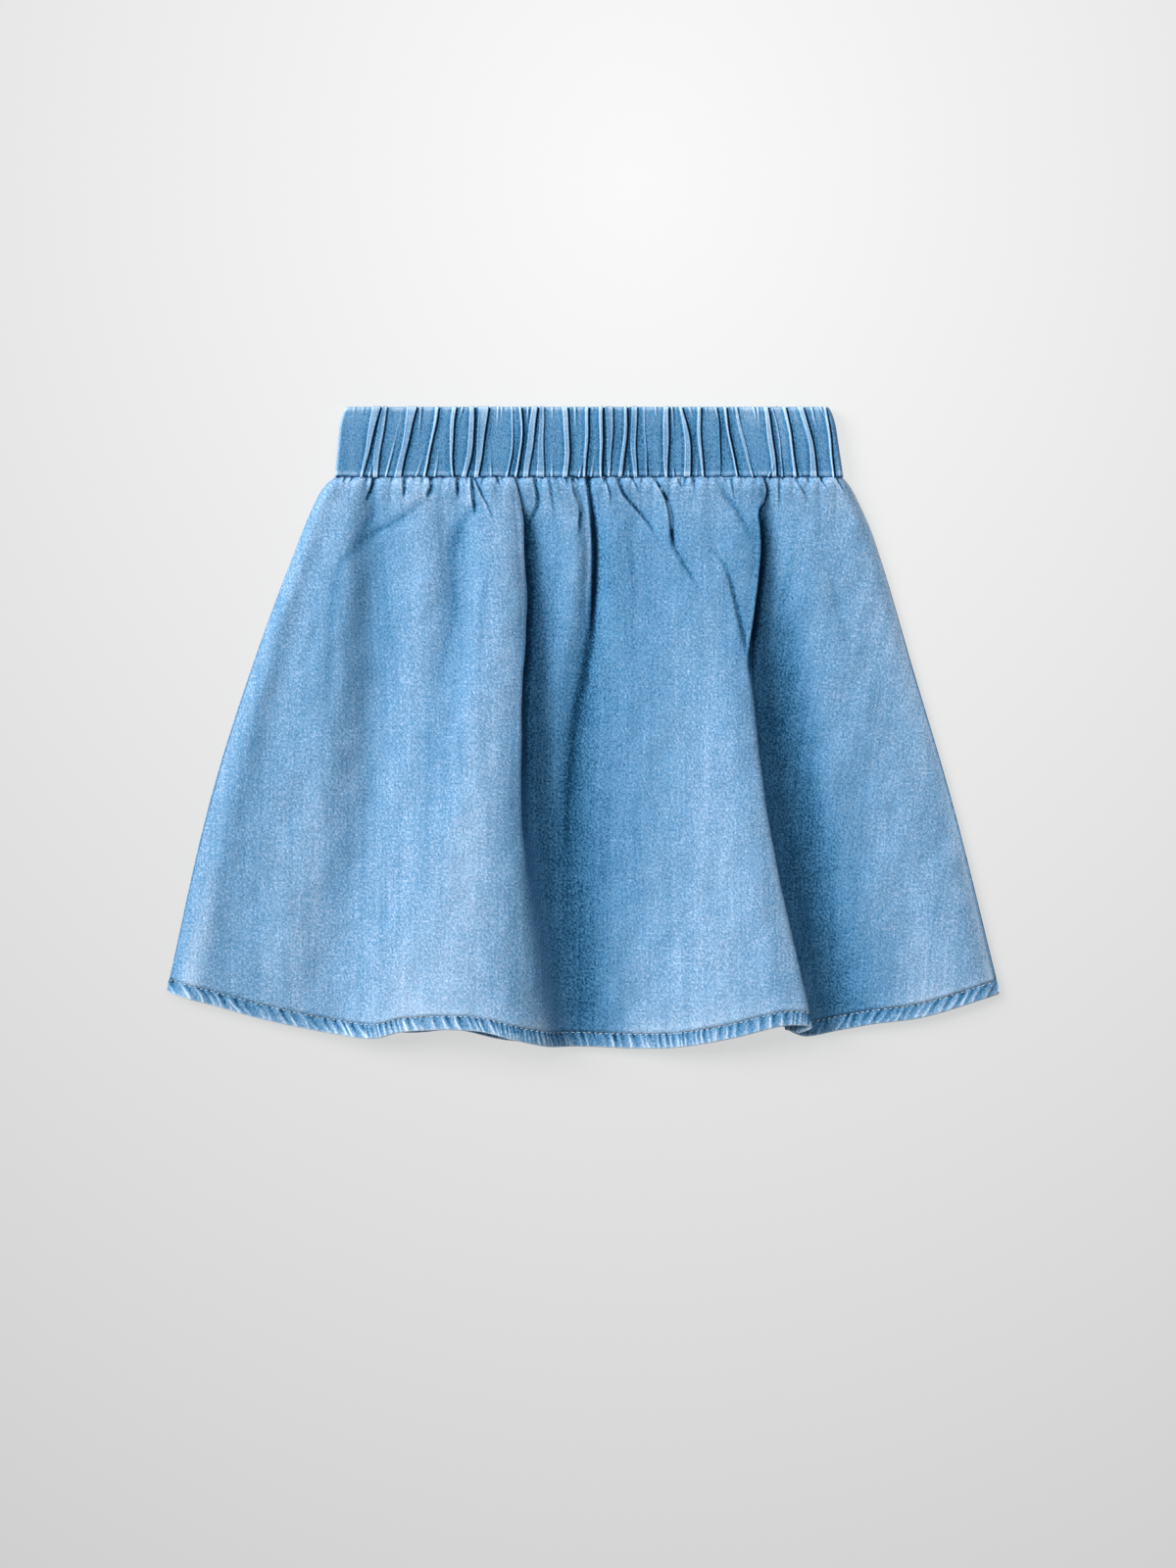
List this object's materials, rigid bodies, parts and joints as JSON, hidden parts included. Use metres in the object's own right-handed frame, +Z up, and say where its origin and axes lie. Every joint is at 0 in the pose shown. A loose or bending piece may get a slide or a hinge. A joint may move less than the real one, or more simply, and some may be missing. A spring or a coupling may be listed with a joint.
{
  "type": "circle skirt",
  "caption": "Child's flared circle skirt in light denim with a tucked elastic waistband and a narrow turned hem, laid flat with soft flares in front.",
  "frame": {"origin": "on the table, under the middle of the skirt's outline", "axes": "+X across the skirt, along its width at the hem; +Y from the hem towards the waist; +Z up from the table"},
  "size_m": [0.3956, 0.3045, 0.0211],
  "materials": {
    "light_denim": "soft washed light-blue denim, matt, fine twill grain with pale slubs",
    "hem_denim": "the same denim turned and topstitched, puckered, pale on its worn edge",
    "band_denim": "the same denim gathered over elastic, darker between its tucks and pale on their ridges",
    "thread": "light-blue sewing thread"
  },
  "bodies": {
    "root": {"waistband_back": "band_denim", "waistband_front": "band_denim", "skirt_back": "light_denim", "hem_back": "hem_denim", "skirt_front": "light_denim", "hem_front": "hem_denim"}
  },
  "joints": []
}
